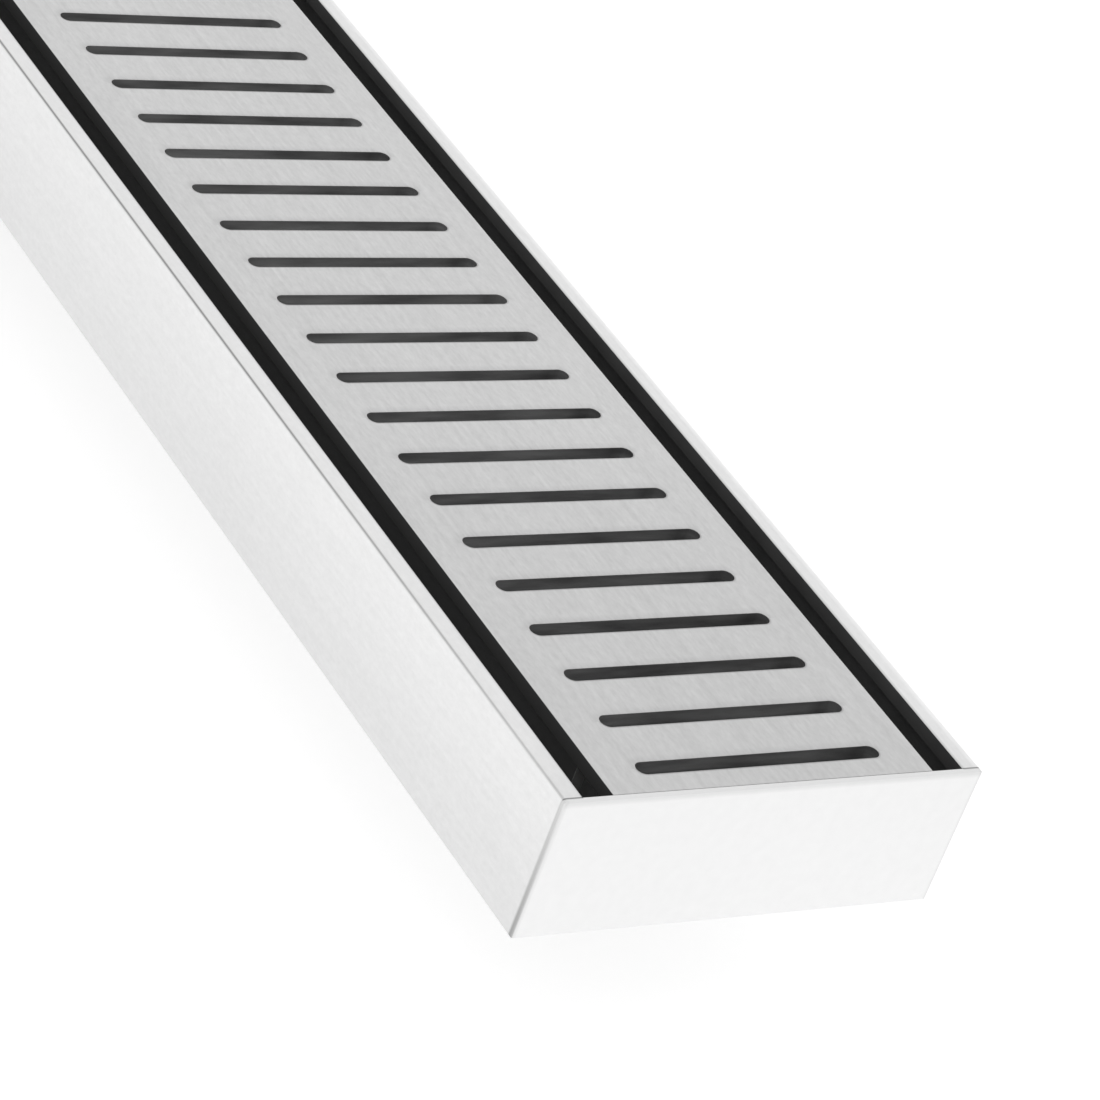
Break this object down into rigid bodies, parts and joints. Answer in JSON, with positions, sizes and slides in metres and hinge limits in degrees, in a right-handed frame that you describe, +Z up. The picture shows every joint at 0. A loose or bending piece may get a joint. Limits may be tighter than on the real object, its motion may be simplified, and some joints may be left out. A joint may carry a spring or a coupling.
{
  "type": "linear channel drain",
  "caption": "Slimline linear floor drain: open metal channel with flat rims and end plates, a lift-out grate with cross slots, open side gaps and a round bottom outlet.",
  "frame": {"origin": "centre of the outlet spigot's lower end, the drain's lowest point", "axes": "+X along the drain towards the near end plate, +Y across it, +Z up through the grate"},
  "size_m": [0.5, 0.075, 0.0515],
  "materials": {
    "channel_metal": "satin, fine lengthwise grain",
    "end_plate_metal": "satin, plain",
    "outlet_metal": "satin, turned",
    "grate_steel": "brushed lengthwise",
    "bearer_steel": "mill finish",
    "shoe_rubber": "matt moulded rubber"
  },
  "bodies": {
    "root": {"channel": "channel_metal", "end_plate_near": "end_plate_metal", "end_plate_far": "end_plate_metal", "outlet_spigot": "outlet_metal", "grate_plate": "grate_steel", "bearer_left": "bearer_steel", "bearer_right": "bearer_steel", "cross_tie_1": "bearer_steel", "cross_tie_2": "bearer_steel", "cross_tie_3": "bearer_steel", "cross_tie_4": "bearer_steel", "shoe_left_1": "shoe_rubber", "shoe_right_1": "shoe_rubber", "shoe_left_2": "shoe_rubber", "shoe_right_2": "shoe_rubber", "shoe_left_3": "shoe_rubber", "shoe_right_3": "shoe_rubber", "shoe_left_4": "shoe_rubber", "shoe_right_4": "shoe_rubber"}
  },
  "joints": []
}
